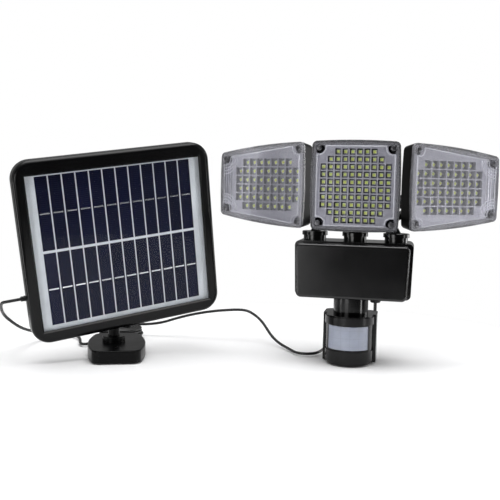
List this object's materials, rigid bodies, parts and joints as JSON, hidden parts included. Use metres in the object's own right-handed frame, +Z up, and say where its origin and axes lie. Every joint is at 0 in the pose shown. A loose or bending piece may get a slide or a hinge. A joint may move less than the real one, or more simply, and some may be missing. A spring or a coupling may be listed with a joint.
{
  "type": "motion sensor security light",
  "caption": "Solar security light: three swivelling LED heads on a battery box with a motion sensor below, wired to a tilting solar panel on a foot.",
  "frame": {"origin": "on the floor, under the middle of the bounding box of everything but the cord", "axes": "+Z up, -Y the way the battery box faces, the solar panel on the -X side"},
  "size_m": [0.4821, 0.2161, 0.2194],
  "materials": {
    "black_plastic": "fine matte",
    "satin_black": "satin",
    "black_rubber": "satin",
    "steel": "bright",
    "green_board": "lacquered",
    "cell_wrap": "shrink wrap",
    "panel_glass": "clear, flat",
    "solar_cell": "dark navy, smooth",
    "ribbon_metal": "bright",
    "backsheet_white": "matte",
    "window": "translucent, finely ribbed",
    "reflector_chrome": "mirror bright",
    "led_board": "white board, yellow light chips",
    "clear_lens": "clear, polished"
  },
  "bodies": {
    "stand_and_lamp": {"foot": "black_plastic", "front_housing": "black_plastic", "rear_housing": "black_plastic", "housing_seal": "black_rubber", "housing_screws": "steel", "battery_cells": "cell_wrap", "control_board": "green_board", "wall_plate": "black_plastic", "wall_plate_screws": "steel", "head_collars": "black_plastic", "dc_socket": "black_plastic", "switch_boot": "black_rubber", "sensor_neck": "black_plastic", "dc_plug": "black_rubber", "cord_lead_lower": "black_rubber", "cord_left": "black_rubber", "cord_coil": "black_rubber", "cord_right": "black_rubber"},
    "panel_post": {"panel_post": "black_plastic", "post_screw": "steel", "panel_tilt_bolt": "steel", "cord_lead_middle": "black_rubber"},
    "panel_knuckle": {"panel_knuckle": "black_plastic", "swivel_screw": "steel", "cord_lead_upper": "black_rubber"},
    "panel": {"panel_frame": "satin_black", "panel_glass": "panel_glass", "solar_cells": "solar_cell", "cell_ribbons": "ribbon_metal", "backsheet": "backsheet_white", "panel_back_cover": "black_plastic", "panel_screws": "steel", "junction_block": "black_plastic", "cord_gland": "black_plastic"},
    "sensor": {"sensor_housing": "black_plastic", "sensor_lens": "window", "sensor_board": "green_board", "sensor_base_cap": "black_plastic"},
    "mode_lever": {"mode_lever": "black_plastic"},
    "arm_left": {"arm_left": "black_plastic"},
    "head_left": {"head_shell_left": "black_plastic", "reflector_left": "reflector_chrome", "led_board_left": "led_board", "lens_left": "clear_lens", "lens_screws_left": "steel", "tilt_bolt_left": "steel"},
    "arm_centre": {"arm_centre": "black_plastic"},
    "head_centre": {"head_shell_centre": "black_plastic", "reflector_centre": "reflector_chrome", "led_board_centre": "led_board", "lens_centre": "clear_lens", "lens_screws_centre": "steel", "tilt_bolt_centre": "steel"},
    "arm_right": {"arm_right": "black_plastic"},
    "head_right": {"head_shell_right": "black_plastic", "reflector_right": "reflector_chrome", "led_board_right": "led_board", "lens_right": "clear_lens", "lens_screws_right": "steel", "tilt_bolt_right": "steel"}
  },
  "joints": [
    {"name": "panel_pan", "type": "hinge", "parent": "stand_and_lamp", "child": "panel_post", "pos_m": [-0.1548, -0.0132, 0.0198], "axis": [0, 0, 1], "range_deg": [-20, 20], "deforming": ["cord_lead_lower"]},
    {"name": "panel_tilt", "type": "hinge", "parent": "panel_post", "child": "panel_knuckle", "pos_m": [-0.1548, -0.0132, 0.1198], "axis": [-0.766, -0.6428, 0], "range_deg": [0, 45], "deforming": ["cord_lead_middle"]},
    {"name": "panel_roll", "type": "hinge", "parent": "panel_knuckle", "child": "panel", "pos_m": [-0.14547, -0.02432, 0.11827], "axis": [-0.6393, 0.7618, 0.1045], "range_deg": [-12, 10], "deforming": ["cord_lead_upper"]},
    {"name": "arm_pan_left", "type": "hinge", "parent": "stand_and_lamp", "child": "arm_left", "pos_m": [0.0431, 0.0311, 0.118], "axis": [0, 0, 1], "range_deg": [-30, 12]},
    {"name": "head_tilt_left", "type": "hinge", "parent": "arm_left", "child": "head_left", "pos_m": [0.02605, 0.06553, 0.16], "axis": [-0.9063, 0.4226, 0], "range_deg": [-7, 45]},
    {"name": "arm_pan_centre", "type": "hinge", "parent": "stand_and_lamp", "child": "arm_centre", "pos_m": [0.0835, 0.0311, 0.118], "axis": [0, 0, 1], "range_deg": [-4, 4]},
    {"name": "head_tilt_centre", "type": "hinge", "parent": "arm_centre", "child": "head_centre", "pos_m": [0.0835, 0.0401, 0.16], "axis": [-1, 0, 0], "range_deg": [-3, 20]},
    {"name": "arm_pan_right", "type": "hinge", "parent": "stand_and_lamp", "child": "arm_right", "pos_m": [0.1239, 0.0311, 0.118], "axis": [0, 0, 1], "range_deg": [-12, 30]},
    {"name": "head_tilt_right", "type": "hinge", "parent": "arm_right", "child": "head_right", "pos_m": [0.13406, 0.06815, 0.16], "axis": [-0.809, -0.5878, 0], "range_deg": [-7, 45]},
    {"name": "sensor_pan", "type": "hinge", "parent": "stand_and_lamp", "child": "sensor", "pos_m": [0.0815, 0.0311, 0.046], "axis": [0, 0, 1], "range_deg": [-45, 45]},
    {"name": "mode_lever_swing", "type": "hinge", "parent": "stand_and_lamp", "child": "mode_lever", "pos_m": [0.1062, 0.0211, 0.0636], "axis": [0, 1, 0], "range_deg": [-12, 12]}
  ]
}
